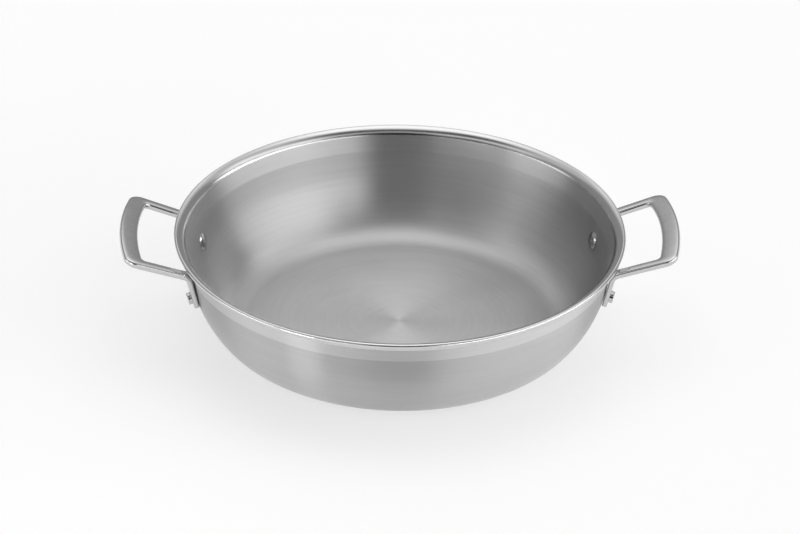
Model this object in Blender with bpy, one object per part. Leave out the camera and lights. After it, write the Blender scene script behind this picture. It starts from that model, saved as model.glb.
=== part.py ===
"""Wide stovetop pan with two riveted loop handles, modelled piece by piece.

Metres, +Z up. The origin is the centre of the base, and the handles lie along X.
The body is three drawn plies, each riveted tab is one end of a cast loop handle.
"""
import math

import bmesh
import bpy
from mathutils import Matrix, Vector
from mathutils.geometry import interpolate_bezier

# Body: the outer face runs base, knuckle, haunch, wall, crease, band, flare, lip
RIM_RADIUS = 0.157
PAN_HEIGHT = 0.0771
WALL_LEAN = math.radians(10.8)
BAND_LEAN = math.radians(16.0)
CREASE_HEIGHT = 0.060
KNUCKLE_RADIUS = 0.0324
KNUCKLE_SWEEP = math.radians(52.8)
HAUNCH_RADIUS = 0.080
FLARE_RADIUS = 0.005
FLARE_SWEEP = math.radians(80.0)

# Plies, from the food side outwards
LINER_SHEET = 0.0006
CORE_SHEET = 0.0012
SHELL_SHEET = 0.0006
BOND_GAP = 0.0003

# Rivets
RIVET_ANGLE = math.radians(15.0)
RIVET_DROP = 0.0315
TAB_EASE = math.radians(1.5)
SHANK_RADIUS = 0.0030
SHANK_CLEARANCE = 0.0003
DOME_RADIUS = 0.0063
DOME_HEIGHT = 0.0020
BUTTON_RADIUS = 0.0042
BUTTON_HEIGHT = 0.0027
BUTTON_CHAMFER = 0.0004
DOME_GAP = 0.0003
SEAT_GAP = 0.0003

# Loop handles
GRIP_REACH = 0.0369
GRIP_WIDTH = 0.0122
HANDLE_THICKNESS = 0.0045
HANDLE_TILT = math.radians(18.4)
LEG_DROP = 0.0080
LEG_WIDTH = 0.0074
LEG_SPLAY = math.radians(4.3)
OUTER_CORNER_RADIUS = 0.0085
INNER_CORNER_RADIUS = 0.0035
TOP_EDGE_RADIUS = 0.0012
UNDERSIDE_RADIUS = 0.0020
FILLET_SHARE = 0.45
TAB_WIDTH = 0.0115
TAB_THICKNESS = 0.0035
TAB_TAIL = 0.0075
TAB_CORNER_RADIUS = 0.0035
BEND_RADIUS = 0.0060
BEND_EASE = 0.36

# Facets
WALL_SEGMENTS = 60
RIVET_SEGMENTS = 20
KNUCKLE_STEPS = 4
HAUNCH_STEPS = 4
FLARE_STEPS = 4
LIP_STEPS = 2
DOME_STEPS = 4
EDGE_STEPS = 2
TAB_CORNER_STEPS = 3
BEND_STEPS = 5
CORNER_STEPS = 6
GRIP_STEPS = 4
SMOOTH_ANGLE = math.radians(35.0)
MERGE_DISTANCE = 0.000001

# Sizes that follow from the ones above
WALL_THICKNESS = LINER_SHEET + BOND_GAP + CORE_SHEET + BOND_GAP + SHELL_SHEET
CORE_DEPTH = SHELL_SHEET + BOND_GAP
LINER_DEPTH = CORE_DEPTH + CORE_SHEET + BOND_GAP
LIP_RADIUS = WALL_THICKNESS / 2
BORE_RADIUS = SHANK_RADIUS + SHANK_CLEARANCE
GRIP_OUTER_RADIUS = RIM_RADIUS + GRIP_REACH
GRIP_INNER_RADIUS = GRIP_OUTER_RADIUS - GRIP_WIDTH


def polar(radius, angle):
    """Return the (r, z) vector of a length, turned up from the +r direction."""
    return Vector((radius * math.cos(angle), radius * math.sin(angle)))


def steps(first, last, count):
    """Return count + 1 evenly spaced values from first to last."""
    return [first + (last - first) * index / count for index in range(count + 1)]


# Centres of the body's arcs, in its (r, z) half plane
LIP_CENTRE = Vector((RIM_RADIUS - LIP_RADIUS, PAN_HEIGHT - LIP_RADIUS))
FLARE_CENTRE = LIP_CENTRE + polar(FLARE_RADIUS + LIP_RADIUS, -FLARE_SWEEP)
NECK = FLARE_CENTRE + polar(FLARE_RADIUS, math.pi - BAND_LEAN)
CREASE = Vector((NECK.x - (NECK.y - CREASE_HEIGHT) * math.tan(BAND_LEAN), CREASE_HEIGHT))
HAUNCH_TOP_SWEEP = math.pi / 2 - WALL_LEAN
HAUNCH_TOP_HEIGHT = (
    KNUCKLE_RADIUS * (1 - math.cos(KNUCKLE_SWEEP))
    + HAUNCH_RADIUS * (math.cos(KNUCKLE_SWEEP) - math.cos(HAUNCH_TOP_SWEEP))
)
HAUNCH_TOP = Vector((CREASE.x - (CREASE.y - HAUNCH_TOP_HEIGHT) * math.tan(WALL_LEAN), HAUNCH_TOP_HEIGHT))
HAUNCH_CENTRE = HAUNCH_TOP - polar(HAUNCH_RADIUS, -WALL_LEAN)
KNUCKLE_CENTRE = HAUNCH_CENTRE + polar(HAUNCH_RADIUS - KNUCKLE_RADIUS, KNUCKLE_SWEEP - math.pi / 2)


def wall_line(depth, flare_end=FLARE_SWEEP):
    """Return the (r, z) points of a face at a depth under the outer one, from the axis to the lip."""
    points = [Vector((0.0, depth))]
    for sweep in steps(0.0, KNUCKLE_SWEEP, KNUCKLE_STEPS):
        points.append(KNUCKLE_CENTRE + polar(KNUCKLE_RADIUS - depth, sweep - math.pi / 2))
    for sweep in steps(KNUCKLE_SWEEP, HAUNCH_TOP_SWEEP, HAUNCH_STEPS)[1:]:
        points.append(HAUNCH_CENTRE + polar(HAUNCH_RADIUS - depth, sweep - math.pi / 2))
    mitre_depth = depth / math.cos((BAND_LEAN - WALL_LEAN) / 2)
    points.append(CREASE + polar(mitre_depth, math.pi - (WALL_LEAN + BAND_LEAN) / 2))
    for sweep in steps(BAND_LEAN, flare_end, FLARE_STEPS):
        points.append(FLARE_CENTRE + polar(FLARE_RADIUS + depth, math.pi - sweep))
    return points


def wall_at(height):
    """Return the outer face's radius and lean at a height, on the haunch or on the wall above it."""
    if height > HAUNCH_TOP.y:
        return CREASE.x - (CREASE.y - height) * math.tan(WALL_LEAN), WALL_LEAN
    lean = math.asin((HAUNCH_CENTRE.y - height) / HAUNCH_RADIUS)
    return HAUNCH_CENTRE.x + HAUNCH_RADIUS * math.cos(lean), lean


def lip_line(radius):
    """Return the (r, z) points round the lip's edge, through its widest and its highest point."""
    angles = steps(-FLARE_SWEEP, 0.0, LIP_STEPS) + steps(0.0, math.pi / 2, LIP_STEPS)[1:]
    angles.append(math.pi - FLARE_SWEEP)
    return [LIP_CENTRE + polar(radius, angle) for angle in angles]


def liner_outline():
    """Return the outline of the inner steel ply, whose edge stops short of the lip's edge."""
    flare_end = FLARE_SWEEP - BOND_GAP / (FLARE_RADIUS + WALL_THICKNESS)
    return wall_line(LINER_DEPTH, flare_end) + wall_line(WALL_THICKNESS, flare_end)[::-1]


def core_outline():
    """Return the outline of the aluminium ply between the two steel ones."""
    return wall_line(CORE_DEPTH) + wall_line(CORE_DEPTH + CORE_SHEET)[::-1]


def shell_outline():
    """Return the outline of the outer steel ply, which closes over the core at the lip."""
    outer_face = wall_line(0.0)[:-1] + lip_line(LIP_RADIUS)
    inner_face = wall_line(SHELL_SHEET)[:-1] + lip_line(LIP_RADIUS - SHELL_SHEET)
    return outer_face + inner_face[::-1]


def dome_line():
    """Return the (r, z) points of the rivet's low dome, from its top on the axis to its rim."""
    ball_radius = (DOME_RADIUS**2 + DOME_HEIGHT**2) / (2 * DOME_HEIGHT)
    ball_centre = Vector((0.0, ball_radius - DOME_HEIGHT))
    half_angle = math.asin(DOME_RADIUS / ball_radius)
    angles = steps(-math.pi / 2, half_angle - math.pi / 2, DOME_STEPS)
    return [ball_centre + polar(ball_radius, angle) for angle in angles]


def rivet_outline(grip_length):
    """Return the outline of a rivet along its axis, dome below, with the given length between heads."""
    button_top = grip_length + BUTTON_HEIGHT
    return dome_line() + [
        Vector((SHANK_RADIUS, 0.0)),
        Vector((SHANK_RADIUS, grip_length)),
        Vector((BUTTON_RADIUS, grip_length)),
        Vector((BUTTON_RADIUS, button_top - BUTTON_CHAMFER)),
        Vector((BUTTON_RADIUS - BUTTON_CHAMFER, button_top)),
        Vector((0.0, button_top)),
    ]


def finish_mesh(bm, name, material):
    """Close the mesh, point its faces out and shade it, then return it."""
    bmesh.ops.remove_doubles(bm, verts=bm.verts[:], dist=MERGE_DISTANCE)
    bmesh.ops.recalc_face_normals(bm, faces=bm.faces[:])
    mesh = bpy.data.meshes.new(name)
    bm.to_mesh(mesh)
    bm.free()
    mesh.shade_smooth()
    mesh.set_sharp_from_angle(angle=SMOOTH_ANGLE)
    mesh.materials.append(material)
    return mesh


def turned_mesh(name, outline, segments, material):
    """Spin an (r, z) outline that starts and ends on the Z axis into a closed mesh."""
    bm = bmesh.new()
    verts = [bm.verts.new((point.x, 0.0, point.y)) for point in outline]
    edges = [bm.edges.new(pair) for pair in zip(verts, verts[1:])]
    bmesh.ops.spin(
        bm, geom=verts + edges, cent=(0, 0, 0), axis=(0, 0, 1), angle=2 * math.pi, steps=segments,
        use_merge=True
    )
    return finish_mesh(bm, name, material)


def skinned_mesh(name, rings, material):
    """Join rings of matching points into a closed tube with a flat cap at each end."""
    bm = bmesh.new()
    loops = [[bm.verts.new(point) for point in ring] for ring in rings]
    for loop, following in zip(loops, loops[1:]):
        for index, vert in enumerate(loop):
            bm.faces.new((loop[index - 1], vert, following[index], following[index - 1]))
    bm.faces.new(loops[0])
    bm.faces.new(loops[-1])
    return finish_mesh(bm, name, material)


class RivetSeat:
    """Where one rivet crosses the wall: a point on the outer face and the directions there."""

    def __init__(self, azimuth):
        height = PAN_HEIGHT - RIVET_DROP
        self.wall_radius, wall_lean = wall_at(height)
        lean = wall_lean + TAB_EASE
        radial = Vector((math.cos(azimuth), math.sin(azimuth), 0.0))
        up = Vector((0.0, 0.0, 1.0))
        self.point = radial * self.wall_radius + up * height
        self.outward = radial * math.cos(lean) - up * math.sin(lean)
        self.uphill = radial * math.sin(lean) + up * math.cos(lean)
        self.across = up.cross(radial)

    def dome_seat(self):
        """Return the distance from the outer face in to the dome's flat side."""
        facet_dip = self.wall_radius * (1 - math.cos(math.pi / WALL_SEGMENTS))
        haunch_dip = DOME_RADIUS**2 / (2 * HAUNCH_RADIUS)
        return WALL_THICKNESS + facet_dip + haunch_dip + DOME_GAP

    def grip_length(self):
        """Return the rivet's length between its heads, through the wall and the tab."""
        return self.dome_seat() + SEAT_GAP + TAB_THICKNESS + SEAT_GAP

    def axis_matrix(self, offset):
        """Return the placement whose local Z is the rivet's axis, starting at an offset from the wall."""
        turn = Matrix((self.across, self.uphill, self.outward)).transposed()
        return Matrix.Translation(self.point + self.outward * offset) @ turn.to_4x4()


class LoopHandle:
    """The cast handle on the +X side, as cross-sections from its +Y tab round to its -Y tab."""

    def __init__(self):
        self.seat = RivetSeat(RIVET_ANGLE)
        self.top = Vector((-math.sin(HANDLE_TILT), 0.0, math.cos(HANDLE_TILT)))
        self.rim_point = Vector((RIM_RADIUS, 0.0, PAN_HEIGHT - LEG_DROP))
        self.tab_origin = self.seat.point + self.seat.outward * (SEAT_GAP + TAB_THICKNESS / 2)
        self.knee = self.find_knee()
        knee_edge = self.knee + self.seat.across * TAB_WIDTH / 2
        self.leg_direction = Vector((math.cos(LEG_SPLAY), math.sin(LEG_SPLAY)))
        self.leg_side = Vector((-math.sin(LEG_SPLAY), math.cos(LEG_SPLAY)))
        self.outer_leg_point = Vector((knee_edge.x, knee_edge.y))
        self.inner_leg_point = self.outer_leg_point - self.leg_side * LEG_WIDTH

    def find_knee(self):
        """Return the point where the tab's middle line meets the middle plane of the leg."""
        plane_point = self.rim_point - self.top * HANDLE_THICKNESS / 2
        rise = (plane_point - self.tab_origin).dot(self.top) / self.seat.uphill.dot(self.top)
        return self.tab_origin + self.seat.uphill * rise

    def middle_point(self, plan):
        """Return the point of the handle's middle plane above a plan point."""
        slope = math.tan(HANDLE_TILT)
        top_point = Vector((plan.x, plan.y, self.rim_point.z + (plan.x - self.rim_point.x) * slope))
        return top_point - self.top * HANDLE_THICKNESS / 2

    def section(self, inner_edge, outer_edge, normal, thickness):
        """Return the ring of a bar between two edges of its middle plane, softer below than on top."""
        across = (outer_edge - inner_edge).normalized()
        half_width = (outer_edge - inner_edge).length / 2
        centre = (inner_edge + outer_edge) / 2
        top_fillet = min(TOP_EDGE_RADIUS, FILLET_SHARE * thickness)
        low_fillet = min(UNDERSIDE_RADIUS, FILLET_SHARE * thickness)
        ring = []
        for quarter, (side, level, fillet) in enumerate(
            [(1, 1, top_fillet), (-1, 1, top_fillet), (-1, -1, low_fillet), (1, -1, low_fillet)]
        ):
            run = side * (half_width - fillet)
            rise = level * (thickness / 2 - fillet)
            corner = centre + across * run + normal * rise
            for angle in steps(quarter * math.pi / 2, (quarter + 1) * math.pi / 2, EDGE_STEPS):
                ring.append(corner + (across * math.cos(angle) + normal * math.sin(angle)) * fillet)
        return ring

    def tab_stations(self):
        """Return the stations up the tab, from its rounded foot to the start of the bend."""
        seat = self.seat
        stations = []
        foot_centre = TAB_TAIL - TAB_CORNER_RADIUS
        straight_width = TAB_WIDTH / 2 - TAB_CORNER_RADIUS
        for angle in steps(0.0, math.pi / 2, TAB_CORNER_STEPS):
            half_width = straight_width + TAB_CORNER_RADIUS * math.sin(angle)
            rise = -foot_centre - TAB_CORNER_RADIUS * math.cos(angle)
            stations.append((self.tab_origin + seat.uphill * rise, half_width))
        stations.append((self.knee - seat.uphill * self.bend_run(), TAB_WIDTH / 2))
        return [
            (middle - seat.across * half, middle + seat.across * half, -seat.outward, TAB_THICKNESS)
            for middle, half in stations
        ]

    def bend_run(self):
        """Return the distance from the knee back to where the bend starts."""
        leg = Vector((self.top.z, 0.0, -self.top.x))
        return BEND_RADIUS * math.tan(self.seat.uphill.angle(leg) / 2)

    def bend_stations(self, tab_end, leg_start):
        """Return the stations round the bend, between the last of the tab and the first of the leg."""
        leg = self.middle_point(self.leg_direction) - self.middle_point(Vector((0.0, 0.0)))
        leg.normalize()
        start = (tab_end[0] + tab_end[1]) / 2
        end = (leg_start[0] + leg_start[1]) / 2
        reach = (end - start).length * BEND_EASE
        path = interpolate_bezier(
            start, start + self.seat.uphill * reach, end - leg * reach, end, BEND_STEPS + 1
        )
        tangents = [after - before for before, after in zip(path, path[2:])]
        stations = []
        for index, tangent in enumerate(tangents, start=1):
            share = index / BEND_STEPS
            across = (tab_end[1] - tab_end[0]).lerp(leg_start[1] - leg_start[0], share)
            thickness = tab_end[3] + (leg_start[3] - tab_end[3]) * share
            normal = tangent.cross(across).normalized()
            stations.append((path[index] - across / 2, path[index] + across / 2, normal, thickness))
        return stations

    def corner_centre(self, leg_point, fillet_radius, grip_radius):
        """Return the plan centre of the fillet between a leg's edge and an arc of the grip."""
        start = leg_point - self.leg_side * fillet_radius
        along = start.dot(self.leg_direction)
        gap = start.length_squared - (grip_radius - fillet_radius) ** 2
        run = -along + math.sqrt(along**2 - gap)
        return start + self.leg_direction * run

    def edge_line(self, leg_point, leg_start, fillet_radius, grip_radius):
        """Return the plan points of one edge of the loop, from its leg to the middle of the grip."""
        centre = self.corner_centre(leg_point, fillet_radius, grip_radius)
        side_angle = math.pi / 2 + LEG_SPLAY
        grip_angle = math.atan2(centre.y, centre.x)
        points = [leg_point + self.leg_direction * leg_start]
        for angle in steps(side_angle, grip_angle, CORNER_STEPS):
            points.append(centre + polar(fillet_radius, angle))
        for angle in steps(grip_angle, 0.0, GRIP_STEPS)[1:]:
            points.append(polar(grip_radius, angle))
        return points

    def loop_stations(self):
        """Return the stations from the start of the leg to the middle of the grip."""
        leg_start = self.bend_run() * math.cos(HANDLE_TILT)
        outer = self.edge_line(self.outer_leg_point, leg_start, OUTER_CORNER_RADIUS, GRIP_OUTER_RADIUS)
        inner = self.edge_line(self.inner_leg_point, leg_start, INNER_CORNER_RADIUS, GRIP_INNER_RADIUS)
        return [
            (self.middle_point(inner_point), self.middle_point(outer_point), self.top, HANDLE_THICKNESS)
            for inner_point, outer_point in zip(inner, outer)
        ]

    def rings(self):
        """Return all cross-sections, the second half mirrored from the first."""
        tab = self.tab_stations()
        loop = self.loop_stations()
        half = tab + self.bend_stations(tab[-1], loop[0]) + loop
        mirror = Matrix.Scale(-1.0, 3, (0.0, 1.0, 0.0))
        other_half = [(mirror @ inner, mirror @ outer, mirror @ normal, thickness)
                      for inner, outer, normal, thickness in half[-2::-1]]
        return [self.section(*station) for station in half + other_half]


def metal(name, colour, roughness):
    """Return a metallic material."""
    material = bpy.data.materials.new(name)
    material.use_nodes = True
    shader = material.node_tree.nodes["Principled BSDF"]
    shader.inputs["Base Color"].default_value = (*colour, 1.0)
    shader.inputs["Metallic"].default_value = 1.0
    shader.inputs["Roughness"].default_value = roughness
    material.diffuse_color = (*colour, 1.0)
    material.metallic = 1.0
    material.roughness = roughness
    return material


def add_object(name, mesh, parent=None):
    """Link an object to the scene's collection and return it."""
    item = bpy.data.objects.new(name, mesh)
    bpy.context.scene.collection.objects.link(item)
    item.parent = parent
    return item


def add_bores(seats):
    """Return one cutter object with a round bar through the wall and the tab at each seat."""
    bm = bmesh.new()
    reach = WALL_THICKNESS + TAB_THICKNESS + DOME_HEIGHT
    for seat in seats:
        bmesh.ops.create_cone(
            bm, cap_ends=True, segments=RIVET_SEGMENTS, radius1=BORE_RADIUS, radius2=BORE_RADIUS,
            depth=2 * reach, matrix=seat.axis_matrix(0.0)
        )
    mesh = bpy.data.meshes.new("rivet_bores")
    bm.to_mesh(mesh)
    bm.free()
    cutter = add_object("rivet_bores", mesh)
    cutter.display_type = "WIRE"
    cutter.hide_render = True
    return cutter


def cut(item, cutter):
    """Cut one object out of another."""
    modifier = item.modifiers.new("rivet_bores", "BOOLEAN")
    modifier.operation = "DIFFERENCE"
    modifier.solver = "EXACT"
    modifier.object = cutter


def build_body(parent, cutter):
    """Add the three plies of the pan's body."""
    plies = [
        ("inner_steel_liner", liner_outline(), metal("liner_steel", (0.60, 0.59, 0.58), 0.30)),
        ("aluminium_core", core_outline(), metal("core_aluminium", (0.78, 0.78, 0.79), 0.45)),
        ("outer_steel_shell", shell_outline(), metal("shell_steel", (0.56, 0.55, 0.54), 0.32)),
    ]
    for name, outline, material in plies:
        cut(add_object(name, turned_mesh(name, outline, WALL_SEGMENTS, material), parent), cutter)


def build_handles(parent, cutter):
    """Add the two loop handles, the left one turned half a turn about the pan's axis."""
    mesh = skinned_mesh("loop_handle", LoopHandle().rings(), metal("handle_steel", (0.62, 0.61, 0.60), 0.18))
    for name, turn in [("right_handle", 0.0), ("left_handle", math.pi)]:
        handle = add_object(name, mesh, parent)
        handle.rotation_euler.z = turn
        cut(handle, cutter)


def build_rivets(parent, seats):
    """Add one rivet at each seat, its dome inside the pan and its button on the tab."""
    first = next(iter(seats.values()))
    outline = rivet_outline(first.grip_length())
    mesh = turned_mesh("rivet", outline, RIVET_SEGMENTS, metal("rivet_steel", (0.66, 0.65, 0.64), 0.15))
    for name, seat in seats.items():
        rivet = add_object(name, mesh, parent)
        rivet.matrix_world = seat.axis_matrix(-seat.dome_seat())


def main():
    """Clear the scene and build the pan."""
    for item in list(bpy.data.objects):
        bpy.data.objects.remove(item)
    seats = {
        "right_rear_rivet": RivetSeat(RIVET_ANGLE),
        "right_front_rivet": RivetSeat(-RIVET_ANGLE),
        "left_rear_rivet": RivetSeat(math.pi - RIVET_ANGLE),
        "left_front_rivet": RivetSeat(math.pi + RIVET_ANGLE),
    }
    pan = add_object("pan", None)
    cutter = add_bores(seats.values())
    build_body(pan, cutter)
    build_handles(pan, cutter)
    build_rivets(pan, seats)


main()
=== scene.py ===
"""Dresses the two-handled pan: spun steel plies, cast loop handles and turned rivets in a plain studio."""

import logging
import math
from collections.abc import Callable, Mapping, Sequence
from dataclasses import dataclass, field
from enum import Enum

import bmesh
import bpy
from mathutils import Matrix, Vector
from mathutils.geometry import interpolate_bezier


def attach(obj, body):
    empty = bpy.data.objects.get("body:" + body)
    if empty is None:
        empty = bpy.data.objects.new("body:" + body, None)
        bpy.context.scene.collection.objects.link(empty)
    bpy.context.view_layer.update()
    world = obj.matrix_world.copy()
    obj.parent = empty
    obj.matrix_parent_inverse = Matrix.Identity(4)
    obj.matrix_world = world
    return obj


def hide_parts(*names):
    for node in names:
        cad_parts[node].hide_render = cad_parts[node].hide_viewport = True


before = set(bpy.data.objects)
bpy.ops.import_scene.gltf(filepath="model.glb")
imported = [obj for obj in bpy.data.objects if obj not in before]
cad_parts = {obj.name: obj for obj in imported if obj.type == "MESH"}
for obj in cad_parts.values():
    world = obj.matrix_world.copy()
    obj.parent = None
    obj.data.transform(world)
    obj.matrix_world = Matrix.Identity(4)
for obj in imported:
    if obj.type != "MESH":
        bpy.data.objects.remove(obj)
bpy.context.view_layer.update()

BODY = "root"
FULL_TURN = 2 * math.pi
RIGHT_ANGLE = math.pi / 2
DEGREES = 180 / math.pi
MERGE_DISTANCE = 0.000001
SEED_SIZE = 0.001
RIVET_AZIMUTH = math.radians(15.0)
BRUSH_TURN = 0.25

log = logging.getLogger("pan")

Colour = tuple[float, float, float]

BLACK: Colour = (0.0, 0.0, 0.0)
WHITE: Colour = (1.0, 1.0, 1.0)


class Side(Enum):
    """The side of the pan that a handle is on, as the turn of the handle about the pan's axis."""

    RIGHT = 0.0
    LEFT = math.pi


# Shader tools


class Wire:
    """A shader value that ordinary arithmetic turns into Math nodes."""

    def __init__(self, bench: "Bench", socket: bpy.types.NodeSocket) -> None:
        """Wrap an output socket of a bench's tree."""
        self.bench = bench
        self.socket = socket

    def __add__(self, other: "Wire | float") -> "Wire":
        """Add a value."""
        return self.bench.maths("ADD", self, other)

    __radd__ = __add__

    def __sub__(self, other: "Wire | float") -> "Wire":
        """Subtract a value."""
        return self.bench.maths("SUBTRACT", self, other)

    def __rsub__(self, other: float) -> "Wire":
        """Subtract from a number."""
        return self.bench.maths("SUBTRACT", other, self)

    def __mul__(self, other: "Wire | float") -> "Wire":
        """Multiply by a value."""
        return self.bench.maths("MULTIPLY", self, other)

    def __truediv__(self, other: "Wire | float") -> "Wire":
        """Divide by a value."""
        return self.bench.maths("DIVIDE", self, other)


class Bench:
    """A node tree that a finish or a light is put together on."""

    def __init__(self, tree: bpy.types.NodeTree) -> None:
        """Clear the node tree of a material or a world and keep it."""
        self.tree = tree
        tree.nodes.clear()

    def add(
        self,
        kind: str,
        settings: Mapping[str, object] | None = None,
        sockets: Mapping[str | int, object] | None = None,
    ) -> bpy.types.Node:
        """Add one node.

        Args:
            kind: The node's type name.
            settings: The node's own properties.
            sockets: Values or wires for its inputs, by name or place.

        Returns:
            The new node.
        """
        node = self.tree.nodes.new(kind)
        for key, value in (settings or {}).items():
            setattr(node, key, value)
        for key, value in (sockets or {}).items():
            if isinstance(value, Wire):
                self.tree.links.new(value.socket, node.inputs[key])
            else:
                node.inputs[key].default_value = value
        return node

    def maths(self, operation: str, *values: Wire | float) -> Wire:
        """Return the result of one Math node."""
        sockets = dict(enumerate(values))
        return Wire(self, self.add("ShaderNodeMath", {"operation": operation}, sockets).outputs[0])

    def soft_step(self, value: Wire, low: float, high: float) -> Wire:
        """Return a smooth rise from 0 at low to 1 at high, or a fall if low is above high."""
        if low > high:
            return 1.0 - self.soft_step(value, high, low)
        sockets = {"Value": value, "From Min": low, "From Max": high}
        node = self.add("ShaderNodeMapRange", {"interpolation_type": "SMOOTHSTEP"}, sockets)
        return Wire(self, node.outputs["Result"])

    def noise(self, place: Wire, scale: float, detail: float, roughness: float = 0.5) -> Wire:
        """Return the grey level of a noise pattern, around one half."""
        sockets = {"Vector": place, "Scale": scale, "Detail": detail, "Roughness": roughness}
        return Wire(self, self.add("ShaderNodeTexNoise", {}, sockets).outputs[0])

    def vector(self, x: Wire | float, y: Wire | float, z: Wire | float) -> Wire:
        """Return a vector made of three values."""
        return Wire(self, self.add("ShaderNodeCombineXYZ", {}, {0: x, 1: y, 2: z}).outputs[0])

    def parts(self, vector: Wire) -> tuple[Wire, Wire, Wire]:
        """Return the three values of a vector."""
        node = self.add("ShaderNodeSeparateXYZ", {}, {0: vector})
        return tuple(Wire(self, output) for output in node.outputs)

    def mix(self, share: Wire, first: Colour, second: Colour) -> Wire:
        """Return a colour between two, the second where share is 1."""
        sockets = {0: share, 6: (*first, 1.0), 7: (*second, 1.0)}
        return Wire(self, self.add("ShaderNodeMix", {"data_type": "RGBA"}, sockets).outputs[2])

    def place(self) -> Wire:
        """Return the point of the surface in the pan's own frame."""
        return Wire(self, self.add("ShaderNodeTexCoord").outputs["Object"])

    def metal(self, colour: Wire, roughness: Wire, height: Wire, depth: float, grain: float) -> None:
        """Finish the tree as a metal surface.

        Args:
            colour: Base colour.
            roughness: Roughness.
            height: Pattern that raises the surface.
            depth: Height in metres of a full step of the pattern.
            grain: How much further light spreads across the brush lines than along them.
        """
        relief = self.add("ShaderNodeBump", {}, {"Strength": 1.0, "Distance": depth, "Height": height})
        sockets = {
            "Base Color": colour,
            "Metallic": 1.0,
            "Roughness": roughness,
            "Anisotropic": grain,
            "Anisotropic Rotation": BRUSH_TURN,
            "Normal": Wire(self, relief.outputs[0]),
        }
        shader = self.add("ShaderNodeBsdfPrincipled", {}, sockets)
        self.add("ShaderNodeOutputMaterial", {}, {0: Wire(self, shader.outputs[0])})


def new_material(name: str) -> tuple[bpy.types.Material, Bench]:
    """Return an empty material and the bench of its tree."""
    material = bpy.data.materials.new(name)
    material.use_nodes = True
    return material, Bench(material.node_tree)


# Finishes


@dataclass(frozen=True)
class SpunSteel:
    """Sheet steel brushed in circles while it turns, with a buffed lip; the band under the lip can be
    painted lighter, a painted reflection.
    """

    name: str
    tone: float
    roughness: float
    foot_roughness: float
    # Painted reflection: how much lighter the band under the lip is painted than the wall below it.
    band_painted_light: float = 0.0
    spread: float = 1.0
    lip_roughness: float = 0.12
    foot_top: float = 0.032
    foot_full: float = 0.016
    band_foot: float = 0.0598
    band_full: float = 0.0602
    lip_foot: float = 0.0698
    lip_full: float = 0.0706
    axis_ease: float = 0.001
    line_turns: float = 2.2
    line_pitch: float = 0.0032
    line_detail: float = 5.0
    line_fineness: float = 0.62
    line_contrast: float = 0.195
    line_depth: float = 0.0000022
    ring_turns: float = 0.7
    ring_pitch: float = 0.017
    ring_contrast: float = 0.075
    cloud_scale: float = 9.0
    plain_detail: float = 2.0
    line_roughness: float = 0.06
    cloud_roughness: float = 0.04

    def circling(self, bench: Bench, turns: float, pitch: float) -> Wire:
        """Return a point's place in a pattern of circles, with its rates along them and across them."""
        x, y, z = bench.parts(bench.place())
        radius = bench.maths("SQRT", x * x + y * y) + self.axis_ease
        return bench.vector(x / radius * turns, y / radius * turns, (radius + z) * (1 / pitch))

    def make(self) -> bpy.types.Material:
        """Return the material."""
        material, bench = new_material(self.name)
        z = bench.parts(bench.place())[2]
        strokes = self.circling(bench, self.line_turns, self.line_pitch)
        lines = bench.noise(strokes, 1.0, self.line_detail, self.line_fineness)
        rings = bench.noise(self.circling(bench, self.ring_turns, self.ring_pitch), 1.0, self.plain_detail)
        clouds = bench.noise(bench.place(), self.cloud_scale, self.plain_detail)
        buffed = bench.soft_step(z, self.lip_foot, self.lip_full)
        streaks = (lines - 0.5) * self.line_contrast + (rings - 0.5) * self.ring_contrast
        # Painted reflection: the band under the lip gets a lighter colour, standing in for the brighter
        # light it reflects.
        painted_band_light = bench.soft_step(z, self.band_foot, self.band_full) * self.band_painted_light
        level = (streaks + painted_band_light + 1.0) * self.tone
        foot = bench.soft_step(z, self.foot_top, self.foot_full)
        satin = self.roughness + foot * (self.foot_roughness - self.roughness)
        satin = satin + (lines - 0.5) * self.line_roughness + (clouds - 0.5) * self.cloud_roughness
        roughness = satin + (self.lip_roughness - satin) * buffed
        height = lines * (1.0 - buffed)
        bench.metal(bench.mix(level, BLACK, WHITE), roughness, height, self.line_depth, self.spread)
        return material


@dataclass(frozen=True)
class CastSteel:
    """Cast steel, ground and polished by hand, so it is bright and very slightly wavy."""

    name: str
    tone: Colour
    roughness: float = 0.13
    wave_scale: float = 90.0
    wave_detail: float = 2.0
    wave_depth: float = 0.00002
    haze_scale: float = 360.0
    haze_tone: float = 0.06
    haze_roughness: float = 0.08
    scratch_scale: float = 1400.0
    scratch_stretch: float = 0.25
    scratch_fineness: float = 0.7
    scratch_depth: float = 0.01
    scratch_roughness: float = 0.05
    fine_detail: float = 3.0

    def make(self) -> bpy.types.Material:
        """Return the material."""
        material, bench = new_material(self.name)
        place = bench.place()
        waves = bench.noise(place, self.wave_scale, self.wave_detail)
        haze = bench.noise(place, self.haze_scale, self.fine_detail)
        x, y, z = bench.parts(place)
        drawn_out = bench.vector(x * self.scratch_stretch, y, z)
        scratches = bench.noise(drawn_out, self.scratch_scale, self.fine_detail, self.scratch_fineness)
        dark = tuple(value * (1 - self.haze_tone) for value in self.tone)
        light = tuple(value * (1 + self.haze_tone) for value in self.tone)
        roughness = self.roughness + (haze - 0.5) * self.haze_roughness
        roughness = roughness + (scratches - 0.5) * self.scratch_roughness
        height = waves + scratches * self.scratch_depth
        bench.metal(bench.mix(haze, dark, light), roughness, height, self.wave_depth, 0.0)
        return material


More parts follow.
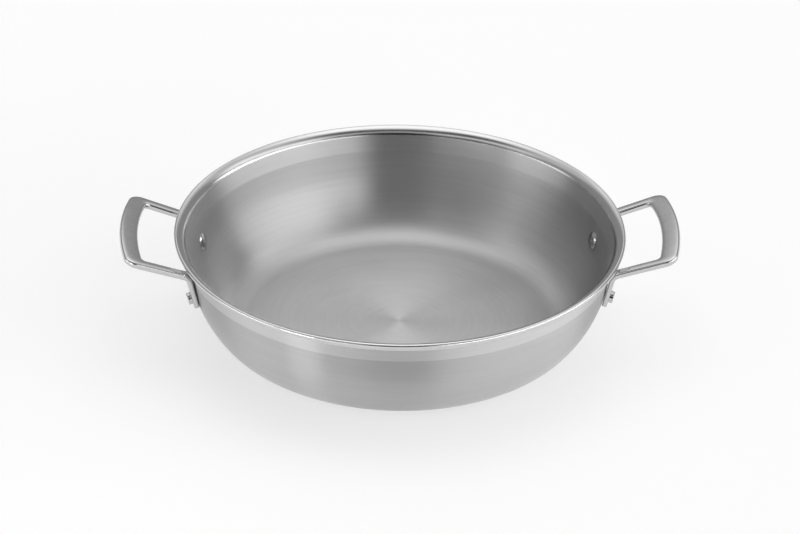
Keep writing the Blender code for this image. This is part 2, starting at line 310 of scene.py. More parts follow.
@dataclass(frozen=True)
class MilledAluminium:
    """Plain rolled aluminium, as the hidden core is left by the mill."""

    name: str
    tone: Colour
    roughness: float = 0.45
    along_scale: float = 12.0
    across_scale: float = 400.0
    detail: float = 3.0
    dark_tone: float = 0.92
    roughness_swing: float = 0.1
    depth: float = 0.000002

    def make(self) -> bpy.types.Material:
        """Return the material."""
        material, bench = new_material(self.name)
        x, y, z = bench.parts(bench.place())
        rolled = bench.vector(x * self.along_scale, y * self.across_scale, z * self.across_scale)
        streaks = bench.noise(rolled, 1.0, self.detail)
        dark = tuple(value * self.dark_tone for value in self.tone)
        roughness = self.roughness + (streaks - 0.5) * self.roughness_swing
        bench.metal(bench.mix(streaks, dark, self.tone), roughness, streaks, self.depth, 0.0)
        return material


# Modelling tools


def deselect_all() -> None:
    """Leave nothing selected."""
    bpy.ops.object.select_all(action="DESELECT")


def choose(item: bpy.types.Object) -> None:
    """Select one object alone and make it the active one."""
    deselect_all()
    item.select_set(True)
    bpy.context.view_layer.objects.active = item


def evenly(first: float, last: float, count: int) -> list[float]:
    """Return count + 1 evenly spaced values from first to last."""
    return [first + (last - first) * index / count for index in range(count + 1)]


def polar(radius: float, angle: float) -> Vector:
    """Return the flat vector of a length, turned from the first axis towards the second."""
    return Vector((radius * math.cos(angle), radius * math.sin(angle)))


def start_mesh(name: str) -> bpy.types.Object:
    """Return a new object in edit mode that holds one very small square."""
    deselect_all()
    bpy.ops.mesh.primitive_plane_add(size=SEED_SIZE, enter_editmode=True, location=(0, 0, 0))
    item = bpy.context.active_object
    item.name = name
    item.data.name = name
    return item


def close_mesh() -> None:
    """Turn all faces of the edited mesh outwards and go back to object mode."""
    bpy.ops.mesh.select_all(action="SELECT")
    bpy.ops.mesh.normals_make_consistent(inside=False)
    bpy.ops.object.mode_set(mode="OBJECT")


def turn_on_lathe(name: str, outline: Sequence[Vector], steps: int) -> bpy.types.Object:
    """Draw an outline point by point and spin it about the Z axis into a closed solid.

    Args:
        name: The new object's name.
        outline: The (r, z) points, from the axis round and back to the axis.
        steps: Number of flat sides round the axis.

    Returns:
        The solid, in object mode and selected.
    """
    item = start_mesh(name)
    bpy.ops.mesh.merge(type="CENTER")
    bpy.ops.transform.translate(value=(outline[0].x, 0, outline[0].y))
    for point, following in zip(outline, outline[1:]):
        move = (following.x - point.x, 0, following.y - point.y)
        bpy.ops.mesh.extrude_region_move(TRANSFORM_OT_translate={"value": move})
    bpy.ops.mesh.select_all(action="SELECT")
    bpy.ops.mesh.spin(steps=steps, angle=FULL_TURN, center=(0, 0, 0), axis=(0, 0, 1))
    bpy.ops.mesh.select_all(action="SELECT")
    bpy.ops.mesh.remove_doubles(threshold=MERGE_DISTANCE)
    close_mesh()
    return item


def apply_place(item: bpy.types.Object, place: Matrix) -> None:
    """Move an object and put the move into its mesh."""
    choose(item)
    item.matrix_world = place
    bpy.ops.object.transform_apply(location=True, rotation=True, scale=True)


def copy_of(item: bpy.types.Object, name: str) -> bpy.types.Object:
    """Return a copy of an object with a mesh of its own."""
    choose(item)
    bpy.ops.object.duplicate()
    twin = bpy.context.active_object
    twin.name = name
    twin.data.name = name
    return twin


def apply_modifier(item: bpy.types.Object, kind: str, settings: Mapping[str, object]) -> None:
    """Add a modifier, set it and apply it.

    Args:
        item: The object to change.
        kind: The modifier's type.
        settings: The modifier's properties.
    """
    choose(item)
    bpy.ops.object.modifier_add(type=kind)
    modifier = item.modifiers[-1]
    for key, value in settings.items():
        setattr(modifier, key, value)
    bpy.ops.object.modifier_apply(modifier=modifier.name)


def smooth(item: bpy.types.Object, angle: float = 35.0) -> None:
    """Shade an object smooth, except over edges sharper than an angle in degrees."""
    choose(item)
    bpy.ops.object.shade_smooth_by_angle(angle=math.radians(angle))


# Sizes of the pan


@dataclass(frozen=True)
class BodyShape:
    """The lines of the pan's body in its (r, z) half plane, in metres."""

    rim_radius: float = 0.157
    height: float = 0.0771
    wall_lean: float = math.radians(10.8)
    band_lean: float = math.radians(16.0)
    crease_height: float = 0.060
    knuckle_radius: float = 0.0324
    knuckle_sweep: float = math.radians(52.8)
    haunch_radius: float = 0.080
    flare_radius: float = 0.005
    flare_sweep: float = math.radians(80.0)
    liner_sheet: float = 0.0006
    core_sheet: float = 0.0012
    shell_sheet: float = 0.0006
    bond_gap: float = 0.0003
    seam_gap: float = 0.00004
    base_margin: float = 0.001
    crease_rings: tuple[float, ...] = (0.0002, 0.0006, 0.0045)
    base_steps: int = 12
    knuckle_steps: int = 16
    haunch_steps: int = 14
    flare_steps: int = 18
    lip_steps: int = 20

    @property
    def wall_thickness(self) -> float:
        """Thickness of the three plies and the gaps between them."""
        return self.liner_sheet + self.core_sheet + self.shell_sheet + 2 * self.bond_gap

    @property
    def core_depth(self) -> float:
        """Depth of the core's outer face under the pan's outer face."""
        return self.shell_sheet + self.bond_gap

    @property
    def liner_depth(self) -> float:
        """Depth of the liner's outer face under the pan's outer face."""
        return self.core_depth + self.core_sheet + self.bond_gap

    @property
    def lip_radius(self) -> float:
        """Radius of the lip's rounded edge."""
        return self.wall_thickness / 2

    @property
    def lip_centre(self) -> Vector:
        """Centre of the lip's rounded edge."""
        return Vector((self.rim_radius - self.lip_radius, self.height - self.lip_radius))

    @property
    def flare_centre(self) -> Vector:
        """Centre of the arc that turns the wall outwards."""
        return self.lip_centre + polar(self.flare_radius + self.lip_radius, -self.flare_sweep)

    @property
    def crease(self) -> Vector:
        """Point of the outer face where the band under the lip starts."""
        neck = self.flare_centre + polar(self.flare_radius, math.pi - self.band_lean)
        radius = neck.x - (neck.y - self.crease_height) * math.tan(self.band_lean)
        return Vector((radius, self.crease_height))

    @property
    def haunch_top(self) -> Vector:
        """Point of the outer face where the straight wall starts."""
        knee = math.cos(self.knuckle_sweep)
        height = self.knuckle_radius * (1 - knee) + self.haunch_radius * (knee - math.sin(self.wall_lean))
        return Vector((self.crease.x - (self.crease.y - height) * math.tan(self.wall_lean), height))

    @property
    def haunch_centre(self) -> Vector:
        """Centre of the large arc of the wall."""
        return self.haunch_top - polar(self.haunch_radius, -self.wall_lean)

    @property
    def knuckle_centre(self) -> Vector:
        """Centre of the arc between the base and the wall."""
        offset = self.haunch_radius - self.knuckle_radius
        return self.haunch_centre + polar(offset, self.knuckle_sweep - RIGHT_ANGLE)

    def wall_at(self, height: float) -> tuple[float, float]:
        """Return the outer face's radius and lean at a height under the crease."""
        if height > self.haunch_top.y:
            return self.crease.x - (self.crease.y - height) * math.tan(self.wall_lean), self.wall_lean
        lean = math.asin((self.haunch_centre.y - height) / self.haunch_radius)
        return self.haunch_centre.x + self.haunch_radius * math.cos(lean), lean

    def face(self, depth: float, flare_end: float) -> list[Vector]:
        """Return the points of a face from the pan's axis to the end of the flare.

        Args:
            depth: Distance of the face under the pan's outer face.
            flare_end: Sweep at which the face stops on the flare.

        Returns:
            The (r, z) points.
        """
        flat_end = self.knuckle_centre.x
        radii = evenly(0.0, flat_end - 2 * self.base_margin, self.base_steps)
        points = [Vector((radius, depth)) for radius in (*radii, flat_end - self.base_margin)]
        for sweep in evenly(0.0, self.knuckle_sweep, self.knuckle_steps):
            points.append(self.knuckle_centre + polar(self.knuckle_radius - depth, sweep - RIGHT_ANGLE))
        for sweep in evenly(self.knuckle_sweep, RIGHT_ANGLE - self.wall_lean, self.haunch_steps)[1:]:
            points.append(self.haunch_centre + polar(self.haunch_radius - depth, sweep - RIGHT_ANGLE))
        half_turn = (self.band_lean - self.wall_lean) / 2
        mitre = self.crease + polar(depth / math.cos(half_turn), math.pi - self.wall_lean - half_turn)
        for distance in reversed(self.crease_rings):
            points.append(mitre + polar(-distance, RIGHT_ANGLE - self.wall_lean))
        points.append(mitre)
        for distance in self.crease_rings:
            points.append(mitre + polar(distance, RIGHT_ANGLE - self.band_lean))
        for sweep in evenly(self.band_lean, flare_end, self.flare_steps):
            points.append(self.flare_centre + polar(self.flare_radius + depth, math.pi - sweep))
        return points

    def lip(self, radius: float) -> list[Vector]:
        """Return the points round the lip's edge on a radius about its centre."""
        angles = evenly(-self.flare_sweep, math.pi - self.flare_sweep, self.lip_steps)
        return [self.lip_centre + polar(radius, angle) for angle in angles]

    def liner_outline(self) -> list[Vector]:
        """Return the closed outline of the inner ply."""
        flare_end = self.flare_sweep - self.seam_gap / (self.flare_radius + self.wall_thickness)
        return self.face(self.liner_depth, flare_end) + self.face(self.wall_thickness, flare_end)[::-1]

    def core_outline(self) -> list[Vector]:
        """Return the closed outline of the core."""
        inner = self.face(self.core_depth + self.core_sheet, self.flare_sweep)
        return self.face(self.core_depth, self.flare_sweep) + inner[::-1]

    def shell_outline(self) -> list[Vector]:
        """Return the closed outline of the outer ply with the lip's rounded edge."""
        outer = self.face(0.0, self.flare_sweep)[:-1] + self.lip(self.lip_radius)
        inner = self.face(self.shell_sheet, self.flare_sweep)[:-1]
        inner += self.lip(self.lip_radius - self.shell_sheet)
        return outer + inner[::-1]


SHAPE = BodyShape()


@dataclass(frozen=True)
class RivetSeat:
    """Where one rivet crosses the wall, and the directions there."""

    azimuth: float
    drop: float = 0.0315
    tab_ease: float = math.radians(1.5)

    @property
    def radial(self) -> Vector:
        """Level direction away from the pan's axis."""
        return Vector((math.cos(self.azimuth), math.sin(self.azimuth), 0.0))

    @property
    def lean(self) -> float:
        """Lean of the tab on the wall."""
        return SHAPE.wall_at(SHAPE.height - self.drop)[1] + self.tab_ease

    @property
    def point(self) -> Vector:
        """Point of the wall's outer face on the rivet's axis."""
        height = SHAPE.height - self.drop
        return self.radial * SHAPE.wall_at(height)[0] + Vector((0, 0, height))

    @property
    def outward(self) -> Vector:
        """Direction of the rivet's axis, out of the pan."""
        return self.radial * math.cos(self.lean) - Vector((0, 0, math.sin(self.lean)))

    @property
    def uphill(self) -> Vector:
        """Direction up the tab."""
        return self.radial * math.sin(self.lean) + Vector((0, 0, math.cos(self.lean)))

    @property
    def across(self) -> Vector:
        """Direction across the tab, round the wall."""
        return Vector((0, 0, 1)).cross(self.radial)

    def place(self, offset: float) -> Matrix:
        """Return the placement whose Z axis is the rivet's, starting at an offset from the wall."""
        turn = Matrix((self.across, self.uphill, self.outward)).transposed()
        return Matrix.Translation(self.point + self.outward * offset) @ turn.to_4x4()


# Sub-assemblies


@dataclass
class PanBody:
    """The three spun plies of the pan's body."""

    sides: int = 288
    bore_radius: float = 0.0033
    bore_sides: int = 32
    bore_reach: float = 0.009
    liner: SpunSteel = SpunSteel("brushed_liner", 0.56, 0.325, 0.300, lip_foot=0.0718, lip_full=0.0728)
    # The shell's fifth value paints the band under its lip a fifth lighter, a painted reflection.
    shell: SpunSteel = SpunSteel("brushed_shell", 0.55, 0.44, 0.34, 0.20, foot_top=0.056, foot_full=0.020)
    core: MilledAluminium = MilledAluminium("rolled_core", (0.78, 0.78, 0.79))
    seats: Sequence[RivetSeat] = ()

    def bored(self, item: bpy.types.Object) -> bpy.types.Object:
        """Drill the rivets' holes through an object and return it."""
        for seat in self.seats:
            deselect_all()
            bpy.ops.mesh.primitive_cylinder_add(
                vertices=self.bore_sides, radius=self.bore_radius, depth=2 * self.bore_reach
            )
            drill = bpy.context.active_object
            apply_place(drill, seat.place(0.0))
            apply_modifier(item, "BOOLEAN", {"operation": "DIFFERENCE", "solver": "EXACT", "object": drill})
            bpy.data.objects.remove(drill)
        return item

    def build(self) -> None:
        """Turn, drill and dress the plies."""
        plies = [
            ("cooking_face", SHAPE.liner_outline(), self.liner, "inner_steel_liner", "liner_steel"),
            ("core_sheet", SHAPE.core_outline(), self.core, "aluminium_core", "core_aluminium"),
            ("outer_face", SHAPE.shell_outline(), self.shell, "outer_steel_shell", "shell_steel"),
        ]
        for name, outline, finish, node, slot in plies:
            ply = self.bored(turn_on_lathe(name, outline, self.sides))
            smooth(ply)
            keep_piece(ply, finish.make(), node)


@dataclass
class Rivet:
    """One rivet: a low dome inside the pan, a shank and a short round button outside."""

    shank_radius: float = 0.0030
    dome_radius: float = 0.0063
    dome_height: float = 0.0020
    dome_edge: float = 0.0004
    button_radius: float = 0.0042
    button_height: float = 0.0027
    button_round: float = 0.0006
    dome_sink: float = 0.0002
    seat_gap: float = 0.0003
    tab_thickness: float = 0.0035
    flat_ring: float = 0.5
    sides: int = 64
    dome_steps: int = 12
    round_steps: int = 6
    finish: CastSteel = CastSteel("polished_rivet", (0.54, 0.54, 0.54), roughness=0.07)

    @property
    def dome_seat(self) -> float:
        """Distance from the wall's outer face in to the flat side of the dome."""
        return SHAPE.wall_thickness + self.dome_edge - self.dome_sink

    def outline(self) -> list[Vector]:
        """Return the (r, z) outline along the rivet's axis, dome first."""
        grip = self.dome_seat + self.seat_gap + self.tab_thickness
        crown = self.dome_height - self.dome_edge
        ball_radius = (self.dome_radius**2 + crown**2) / (2 * crown)
        ball_centre = Vector((0.0, ball_radius - crown - self.dome_edge))
        half_angle = math.asin(self.dome_radius / ball_radius)
        angles = evenly(-RIGHT_ANGLE, half_angle - RIGHT_ANGLE, self.dome_steps)
        dome = [ball_centre + polar(ball_radius, angle) for angle in angles]
        top = grip + self.button_height
        round_centre = Vector((self.button_radius - self.button_round, top - self.button_round))
        angles = evenly(0.0, RIGHT_ANGLE, self.round_steps)
        button = [round_centre + polar(self.button_round, angle) for angle in angles]
        return dome + [
            Vector((self.dome_radius, 0.0)),
            Vector((self.shank_radius, 0.0)),
            Vector((self.shank_radius, grip)),
            Vector((self.button_radius, grip)),
            *button,
            Vector((self.button_radius * self.flat_ring, top)),
            Vector((0.0, top)),
        ]

    def build(self, seats: Mapping[str, RivetSeat]) -> None:
        """Model one rivet and put a copy at every seat, in the place of the node named with it."""
        pattern = turn_on_lathe("rivet_pattern", self.outline(), self.sides)
        smooth(pattern, angle=40.0)
        material = self.finish.make()
        for node, seat in seats.items():
            rivet = copy_of(pattern, node.replace("_rivet", "_polished_rivet"))
            apply_place(rivet, seat.place(-self.dome_seat))
            keep_piece(rivet, material, node)
        bpy.data.objects.remove(pattern)


@dataclass(frozen=True)
class Section:
    """One cross-section of the handle's bar: its place, directions, size and rounded edges."""

    centre: Vector
    across: Vector
    normal: Vector
    width: float
    thickness: float
    top_round: float
    under_round: float
    crown: float = 0.0

    def turn(self) -> Matrix:
        """Return the rotation that lays a grid along the section."""
        along = self.across.cross(self.normal)
        return Matrix((self.across, self.normal, along)).transposed()

    def share_across(self, point: Vector) -> float:
        """Return a point's distance from the middle as a share of half the width."""
        return (point - self.centre).dot(self.across) * 2 / self.width

    def share_up(self, point: Vector) -> float:
        """Return a point's height over the middle as a share of half the thickness."""
        return (point - self.centre).dot(self.normal) * 2 / self.thickness


@dataclass
class LoftedBar:
    """A bar that is laid out ring by ring along its sections and then skinned, one half of it mirrored."""

    name: str
    sections: Sequence[Section]
    steps_across: int = 4
    corner_steps: int = 4
    crown_steps: Sequence[tuple[float, float]] = ((0.6, 0.75), (0.1, 0.25))
    corner_share: float = 0.99
    tag: str = "ring"

    def pick(self, number: int, wanted: Callable[[Vector], bool]) -> None:
        """Select only those vertices of one ring whose places a test wants, in edit mode.

        Args:
            number: The ring's number.
            wanted: The test of a vertex's place.
        """
        bpy.ops.mesh.select_all(action="DESELECT")
        data = bpy.context.active_object.data
        mesh = bmesh.from_edit_mesh(data)
        rings = mesh.verts.layers.int[self.tag]
        for vert in mesh.verts:
            vert.select_set(vert[rings] == number and wanted(vert.co))
        mesh.select_flush(True)
        bmesh.update_edit_mesh(data)

    def tag_new(self, number: int) -> None:
        """Give the selected vertices, which the last primitive added, their ring's number."""
        data = bpy.context.active_object.data
        mesh = bmesh.from_edit_mesh(data)
        rings = mesh.verts.layers.int.get(self.tag) or mesh.verts.layers.int.new(self.tag)
        for vert in mesh.verts:
            if vert.select:
                vert[rings] = number
        bmesh.update_edit_mesh(data)

    def add_ring(self, part: Section, number: int) -> None:
        """Lay out one section as a rounded and slightly crowned outline.

        Args:
            part: The section.
            number: The ring's number, from 1.
        """
        turn = part.turn()
        bpy.ops.mesh.select_all(action="DESELECT")
        bpy.ops.mesh.primitive_grid_add(
            x_subdivisions=self.steps_across, y_subdivisions=1, size=1.0, location=part.centre,
            rotation=turn.to_euler()
        )
        self.tag_new(number)
        bpy.ops.transform.resize(
            value=(part.width, part.thickness, 1.0), orient_type="GLOBAL", orient_matrix=turn,
            orient_matrix_type="GLOBAL", center_override=part.centre
        )
        for reach, share in self.crown_steps:
            self.pick(
                number, lambda place: part.share_up(place) > 0 and abs(part.share_across(place)) < reach
            )
            bpy.ops.transform.translate(value=part.normal * part.crown * share)
        for side, size in ((1, part.top_round), (-1, part.under_round)):
            self.pick(
                number,
                lambda place: part.share_up(place) * side > self.corner_share
                and abs(part.share_across(place)) > self.corner_share
            )
            bpy.ops.mesh.bevel(offset=size, segments=self.corner_steps, profile=0.5, affect="VERTICES")
        self.pick(number, lambda place: True)
        bpy.ops.mesh.dissolve_faces()

    def skin(self) -> None:
        """Close the first ring and bridge each one to the next."""
        data = bpy.context.active_object.data
        bpy.ops.mesh.select_all(action="SELECT")
        bpy.ops.mesh.delete(type="ONLY_FACE")
        bpy.ops.mesh.select_mode(type="EDGE")
        for number in range(1, len(self.sections) + 1):
            bpy.ops.mesh.select_all(action="DESELECT")
            mesh = bmesh.from_edit_mesh(data)
            rings = mesh.verts.layers.int[self.tag]
            for edge in mesh.edges:
                first, second = (vert[rings] for vert in edge.verts)
                edge.select_set(first == second and first in (number - 1, number))
            bmesh.update_edit_mesh(data)
            if number == 1:
                bpy.ops.mesh.edge_face_add()
            else:
                bpy.ops.mesh.bridge_edge_loops()
        bpy.ops.mesh.select_mode(type="VERT")

    def build(self) -> bpy.types.Object:
        """Return the whole bar as one closed solid, in object mode."""
        item = start_mesh(self.name)
        bpy.ops.mesh.delete(type="VERT")
        bpy.ops.mesh.select_mode(type="VERT")
        for number, part in enumerate(self.sections, 1):
            self.add_ring(part, number)
        self.skin()
        bpy.ops.object.mode_set(mode="OBJECT")
        item.data.attributes.remove(item.data.attributes[self.tag])
        flip = {"use_axis": (False, True, False), "use_clip": True, "merge_threshold": MERGE_DISTANCE}
        apply_modifier(item, "MIRROR", flip)
        bpy.ops.object.mode_set(mode="EDIT")
        close_mesh()
        return item


@dataclass
class LoopHandle:
    """A cast loop handle with two riveted tabs, modelled on the +X side."""

    seat: RivetSeat = field(default_factory=lambda: RivetSeat(RIVET_AZIMUTH))
    grip_reach: float = 0.0367
    grip_width: float = 0.0122
    thickness: float = 0.0045
    tilt: float = math.radians(18.4)
    leg_drop: float = 0.00805
    leg_width: float = 0.0074
    leg_splay: float = math.radians(4.3)
    outer_corner: float = 0.0085
    inner_corner: float = 0.0035
    top_round: float = 0.0016
    under_round: float = 0.0020
    end_round: float = 0.0009
    tab_width: float = 0.0115
    tab_thickness: float = 0.0035
    tab_tail: float = 0.0075
    tab_corner: float = 0.0035
    bend_radius: float = 0.0060
    bend_ease: float = 0.36
    seat_gap: float = 0.0003
    crown: float = 0.0002
    top_share: float = 0.3
    under_share: float = 0.4
    foot_steps: int = 9
    tab_steps: int = 5
    bend_steps: int = 14
    leg_steps: int = 6
    corner_steps: int = 18
    grip_steps: int = 14
    finish: CastSteel = CastSteel("polished_handle", (0.58, 0.58, 0.58))

    @property
    def top(self) -> Vector:
        """Direction out of the handle's upper face."""
        return Vector((-math.sin(self.tilt), 0.0, math.cos(self.tilt)))

    @property
    def tab_origin(self) -> Vector:
        """Point of the tab's middle plane on the rivet's axis."""
        return self.seat.point + self.seat.outward * (self.seat_gap + self.tab_thickness / 2)

    def middle(self, plan: Vector) -> Vector:
        """Return the point of the loop's middle plane above a plan point."""
        rise = SHAPE.height - self.leg_drop + (plan.x - SHAPE.rim_radius) * math.tan(self.tilt)
        return Vector((plan.x, plan.y, rise)) - self.top * self.thickness / 2

    @property
    def knee(self) -> Vector:
        """Point where the tab's middle line meets the loop's middle plane."""
        gap = self.middle(Vector((SHAPE.rim_radius, 0.0))) - self.tab_origin
        return self.tab_origin + self.seat.uphill * gap.dot(self.top) / self.seat.uphill.dot(self.top)

    @property
    def bend_run(self) -> float:
        """Distance from the knee back to where the bend starts."""
        leg = Vector((self.top.z, 0.0, -self.top.x))
        return self.bend_radius * math.tan(self.seat.uphill.angle(leg) / 2)

    @property
    def leg_along(self) -> Vector:
        """Plan direction of the leg, away from the pan."""
        return Vector((math.cos(self.leg_splay), math.sin(self.leg_splay)))

    @property
    def leg_side(self) -> Vector:
        """Plan direction across the leg, away from the opening."""
        return Vector((-math.sin(self.leg_splay), math.cos(self.leg_splay)))

    def edge(self, leg_point: Vector, fillet: float, grip_radius: float) -> list[Vector]:
        """Return the plan points of one edge of the loop, from its leg to the middle of the grip.

        Args:
            leg_point: A plan point of the leg's edge, beside the knee.
            fillet: Radius of the corner.
            grip_radius: Radius of the grip's edge about the pan's axis.

        Returns:
            The plan points, as many for the outer edge as for the inner one.
        """
        start = leg_point - self.leg_side * fillet
        along = start.dot(self.leg_along)
        gap = start.length_squared - (grip_radius - fillet) ** 2
        centre = start + self.leg_along * (math.sqrt(along**2 - gap) - along)
        grip_angle = math.atan2(centre.y, centre.x)
        leg_start = leg_point + self.leg_along * self.bend_run * math.cos(self.tilt)
        corner_start = centre + self.leg_side * fillet
        points = [leg_start.lerp(corner_start, share) for share in evenly(0.0, 1.0, self.leg_steps)[:-1]]
        for angle in evenly(RIGHT_ANGLE + self.leg_splay, grip_angle, self.corner_steps):
            points.append(centre + polar(fillet, angle))
        for angle in evenly(grip_angle, 0.0, self.grip_steps)[1:]:
            points.append(polar(grip_radius, angle))
        return points

    def tab_sections(self) -> list[Section]:
        """Return the sections up the tab, from its rounded foot to the bend."""
        sizes = []
        for angle in evenly(0.0, RIGHT_ANGLE, self.foot_steps):
            rise = self.tab_corner * (1 - math.cos(angle))
            short = max(0.0, self.end_round - rise)
            half = self.tab_width / 2 - self.tab_corner * (1 - math.sin(angle))
            pinch = self.end_round - math.sqrt(self.end_round**2 - short**2)
            sizes.append((rise - self.tab_tail, half, self.tab_thickness - 2 * pinch))
        last = (self.knee - self.tab_origin).dot(self.seat.uphill) - self.bend_run
        for rise in evenly(sizes[-1][0], last, self.tab_steps)[1:]:
            sizes.append((rise, self.tab_width / 2, self.tab_thickness))
        return [
            Section(
                self.tab_origin + self.seat.uphill * rise, self.seat.across, -self.seat.outward,
                2 * half, thickness, min(self.top_round, thickness * self.top_share),
                min(self.under_round, thickness * self.under_share)
            )
            for rise, half, thickness in sizes
        ]

    def bend_sections(self, tab_end: Section, leg_start: Section) -> list[Section]:
        """Return the sections between the last of the tab and the first of the leg."""
        leg = self.middle(self.leg_along) - self.middle(Vector((0.0, 0.0)))
        leg.normalize()
        reach = (leg_start.centre - tab_end.centre).length * self.bend_ease
        path = interpolate_bezier(
            tab_end.centre, tab_end.centre + self.seat.uphill * reach,
            leg_start.centre - leg * reach, leg_start.centre, self.bend_steps + 1
        )
        sections = []
        for index in range(1, self.bend_steps):
            share = index / self.bend_steps
            across = tab_end.across.lerp(leg_start.across, share).normalized()
            normal = (path[index + 1] - path[index - 1]).cross(across).normalized()
            width = tab_end.width + (leg_start.width - tab_end.width) * share
            thickness = tab_end.thickness + (leg_start.thickness - tab_end.thickness) * share
            under = tab_end.under_round + (leg_start.under_round - tab_end.under_round) * share
            crown = leg_start.crown * share
            sections.append(
                Section(path[index], across, normal, width, thickness, self.top_round, under, crown)
            )
        return sections

    def loop_sections(self) -> list[Section]:
        """Return the sections from the start of the leg to the middle of the grip."""
        knee_edge = self.knee + self.seat.across * self.tab_width / 2
        outer_point = Vector((knee_edge.x, knee_edge.y))
        inner_point = outer_point - self.leg_side * self.leg_width
        outer_radius = SHAPE.rim_radius + self.grip_reach
        outer = self.edge(outer_point, self.outer_corner, outer_radius)
        inner = self.edge(inner_point, self.inner_corner, outer_radius - self.grip_width)
        sections = []
        for inner_plan, outer_plan in zip(inner, outer):
            first, second = self.middle(inner_plan), self.middle(outer_plan)
            span = second - first
            sections.append(Section(
                (first + second) / 2, span.normalized(), self.top, span.length, self.thickness,
                self.top_round, self.under_round, self.crown
            ))
        return sections

    def sections(self) -> list[Section]:
        """Return the sections of one half, from the foot of a tab to the middle of the grip."""
        tab = self.tab_sections()
        loop = self.loop_sections()
        return tab + self.bend_sections(tab[-1], loop[0]) + loop

    def build(self, body: PanBody) -> None:
        """Model the casting, drill it as the pan's body is drilled and put one on each side."""
        pattern = LoftedBar("handle_pattern", self.sections()).build()
        body.bored(pattern)
        smooth(pattern, angle=40.0)
        apply_modifier(pattern, "WEIGHTED_NORMAL", {"keep_sharp": True, "weight": 60})
        material = self.finish.make()
        for side in Side:
            name = side.name.lower()
            handle = copy_of(pattern, f"{name}_polished_handle")
            apply_place(handle, Matrix.Rotation(side.value, 4, "Z"))
            keep_piece(handle, material, f"{name}_handle")
        bpy.data.objects.remove(pattern)


def keep_piece(item: bpy.types.Object, material: bpy.types.Material, node: str) -> None:
    """Dress a finished piece and put it in the place of its CAD node.

    Args:
        item: The finished piece.
        material: Its finish.
        node: The CAD node that it replaces.
    """
    item.data.materials.clear()
    item.data.materials.append(material)
    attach(item, BODY)
    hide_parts(node)
    log.info("%s replaces %s: %d faces", item.name, node, len(item.data.polygons))


# Studio


@dataclass(frozen=True)
class StudioCamera:
    """The camera, at the photograph's angle and distance."""

    elevation: float = math.radians(29.923)
    azimuth: float = math.radians(-2.0)
    roll: float = math.radians(0.817)
    distance: float = 2.5
    aim_aside: float = 0.000397
    aim_height: float = 0.046536
    lens: float = 160.849
    sensor: float = 36.0

    def build(self) -> None:
        """Add the camera and make it the scene's own."""
        side = Vector((math.cos(self.azimuth), math.sin(self.azimuth), 0.0))
        back = Vector((
            math.sin(self.azimuth) * math.cos(self.elevation),
            -math.cos(self.azimuth) * math.cos(self.elevation),
            math.sin(self.elevation),
        ))
        up = side.cross(-back)
        right = side * math.cos(self.roll) + up * math.sin(self.roll)
        top = up * math.cos(self.roll) - side * math.sin(self.roll)
        aim = side * self.aim_aside + Vector((0, 0, self.aim_height))
        data = bpy.data.cameras.new("studio_camera")
        data.sensor_fit = "HORIZONTAL"
        data.sensor_width = self.sensor
        data.lens = self.lens
        data.clip_start = 0.05
        data.clip_end = 100.0
        camera = bpy.data.objects.new("studio_camera", data)
        bpy.context.scene.collection.objects.link(camera)
        turn = Matrix((right, top, back)).transposed().to_4x4()
        camera.matrix_world = Matrix.Translation(aim + back * self.distance) @ turn
        bpy.context.scene.camera = camera


@dataclass(frozen=True)
class SoftWindow:
    """A soft-edged part of the surroundings, by compass (0 is the camera's side) and rise in degrees."""

    level: float
    compass: float
    half_width: float
    side_edge: float
    bottom: float
    bottom_edge: float
    top: float
    top_edge: float

    def share(self, bench: Bench, compass: Wire, rise: Wire) -> Wire:
        """Return 1 inside the window and 0 outside it.

        Args:
            bench: The bench of the world's tree.
            compass: Compass angle of the direction looked in.
            rise: Angle of that direction over the horizon.

        Returns:
            The share of the window that the direction sees.
        """
        away = bench.maths("ABSOLUTE", bench.maths("WRAP", compass - self.compass, 180.0, -180.0))
        beside = bench.soft_step(away, self.half_width + self.side_edge, self.half_width - self.side_edge)
        over = bench.soft_step(rise, self.bottom - self.bottom_edge, self.bottom + self.bottom_edge)
        under = bench.soft_step(rise, self.top + self.top_edge, self.top - self.top_edge)
        return beside * over * under


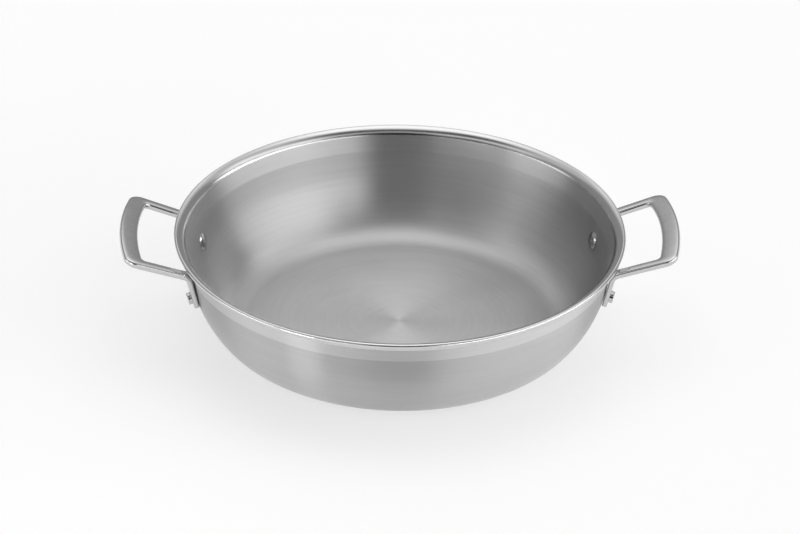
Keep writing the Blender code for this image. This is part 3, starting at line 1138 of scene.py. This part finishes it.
@dataclass(frozen=True)
class Studio:
    """A plain pale floor and the soft light that surrounds the pan."""

    floor_size: float = 40.0
    floor_colour: Colour = (0.97, 0.97, 0.97)
    floor_glow: float = 0.46
    floor_level: float = 1.2
    low_level: float = 0.36
    high_level: float = 0.76
    level_change: tuple[float, float] = (27.0, 42.0)
    shades: tuple[SoftWindow, ...] = (
        SoftWindow(0.80, 4.0, 17.0, 14.0, -30.0, 10.0, 42.0, 3.0),  # low in front
        SoftWindow(1.00, -12.0, 44.0, 20.0, 15.0, 3.0, 38.0, 3.0),  # wider in front
        SoftWindow(0.88, -13.0, 89.0, 30.0, 52.0, 6.0, 75.4, 9.5),  # high in front
    )
    lamps: tuple[SoftWindow, ...] = (
        SoftWindow(5.20, 61.0, 44.0, 10.0, 8.6, 1.1, 17.3, 1.1),  # low on the right
        SoftWindow(0.92, 80.0, 36.0, 12.0, 26.0, 3.0, 43.9, 6.3),  # high on the right
        SoftWindow(1.40, -54.0, 34.0, 12.0, -20.0, 3.0, 11.0, 2.0),  # low on the left
        SoftWindow(0.30, -53.0, 32.7, 9.1, 28.0, 5.0, 45.8, 4.0),  # high on the left
        SoftWindow(1.60, -80.0, 18.0, 8.0, 0.0, 2.0, 13.0, 3.0),  # farther round on the left
        SoftWindow(0.52, 180.0, 28.0, 14.0, 27.4, 2.8, 42.0, 5.0),  # behind the pan
    )
    panel_level: float = 1.03
    panel_rise: float = math.radians(72.0)
    panel_edge: tuple[float, float] = (33.3, 9.0)
    card_compass: float = math.radians(-45.5)
    card_distance: float = 0.75
    card_size: tuple[float, float] = (0.20, 0.10)
    card_lift: float = 0.005
    card_level: float = 5.2

    def seen_directly(self, bench: Bench) -> Wire:
        """Return 1 for what the camera, a reflection or a clear material sees, and 0 for other light."""
        path = bench.add("ShaderNodeLightPath")
        names = ("Is Camera Ray", "Is Glossy Ray", "Is Transmission Ray")
        camera, glossy, clear = (Wire(bench, path.outputs[name]) for name in names)
        return bench.maths("MINIMUM", camera + glossy + clear, 1.0)

    def build_floor(self) -> None:
        """Add the pale floor, which keeps the pan's shadow."""
        deselect_all()
        bpy.ops.mesh.primitive_plane_add(size=self.floor_size, location=(0, 0, 0))
        floor = bpy.context.active_object
        floor.name = "studio_floor"
        material, bench = new_material("pale_floor")
        paint = bench.add("ShaderNodeBsdfDiffuse", {}, {"Color": (*self.floor_colour, 1.0)})
        glow = bench.add("ShaderNodeEmission", {}, {"Color": (*WHITE, 1.0), "Strength": self.floor_level})
        share = self.seen_directly(bench) * self.floor_glow
        surface = bench.add(
            "ShaderNodeMixShader", {},
            {0: share, 1: Wire(bench, paint.outputs[0]), 2: Wire(bench, glow.outputs[0])}
        )
        bench.add("ShaderNodeOutputMaterial", {}, {0: Wire(bench, surface.outputs[0])})
        floor.data.materials.append(material)

    def build_light(self) -> None:
        """Surround the pan with soft light: lamps and shades at its sides and a panel above it."""
        world = bpy.data.worlds.new("studio_light")
        world.use_nodes = True
        bpy.context.scene.world = world
        bench = Bench(world.node_tree)
        x, y, z = bench.parts(Wire(bench, bench.add("ShaderNodeTexCoord").outputs["Generated"]))
        compass = bench.maths("ARCTAN2", x, y * -1.0) * DEGREES
        rise = bench.maths("ARCSINE", z) * DEGREES
        gain = self.high_level - self.low_level
        level = self.low_level + bench.soft_step(rise, *self.level_change) * gain
        for shade in self.shades:
            level = level * (1.0 - shade.share(bench, compass, rise) * shade.level)
        for lamp in self.lamps:
            level = level + lamp.share(bench, compass, rise) * lamp.level
        facing = y * math.cos(self.panel_rise) + z * math.sin(self.panel_rise)
        off_panel = bench.maths("ARCCOSINE", facing) * DEGREES
        level = level + bench.soft_step(off_panel, *self.panel_edge) * self.panel_level
        camera = Wire(bench, bench.add("ShaderNodeLightPath").outputs["Is Camera Ray"])
        level = level + (1.0 - level) * camera
        glow = bench.add("ShaderNodeBackground", {}, {"Color": (*WHITE, 1.0), "Strength": level})
        bench.add("ShaderNodeOutputWorld", {}, {0: Wire(bench, glow.outputs[0])})

    def build_card(self) -> None:
        """Stand a low lit card on the floor in front of the pan, on the left."""
        width, height = self.card_size
        data = bpy.data.lights.new("left_card", "AREA")
        data.shape = "RECTANGLE"
        data.size = width
        data.size_y = height
        data.energy = math.pi * width * height * self.card_level
        card = bpy.data.objects.new("left_card", data)
        bpy.context.scene.collection.objects.link(card)
        away = Vector((math.sin(self.card_compass), -math.cos(self.card_compass), 0.0))
        up = Vector((0.0, 0.0, 1.0))
        turn = Matrix((up.cross(away), up, away)).transposed().to_4x4()
        place = away * self.card_distance + up * (height / 2 + self.card_lift)
        card.matrix_world = Matrix.Translation(place) @ turn
        card.visible_camera = False

    def build(self) -> None:
        """Add the floor and the light, and set how the picture is shown."""
        self.build_floor()
        self.build_light()
        self.build_card()
        bpy.context.scene.view_settings.view_transform = "Standard"


def main() -> None:
    """Build the pan piece by piece, then the studio round it."""
    logging.basicConfig(level=logging.INFO, format="%(message)s")
    seats = {
        "right_rear_rivet": RivetSeat(RIVET_AZIMUTH),
        "right_front_rivet": RivetSeat(-RIVET_AZIMUTH),
        "left_rear_rivet": RivetSeat(math.pi - RIVET_AZIMUTH),
        "left_front_rivet": RivetSeat(math.pi + RIVET_AZIMUTH),
    }
    StudioCamera().build()
    body = PanBody(seats=tuple(seats.values()))
    body.build()
    LoopHandle().build(body)
    Rivet().build(seats)
    Studio().build()


if __name__ == "__main__":
    main()
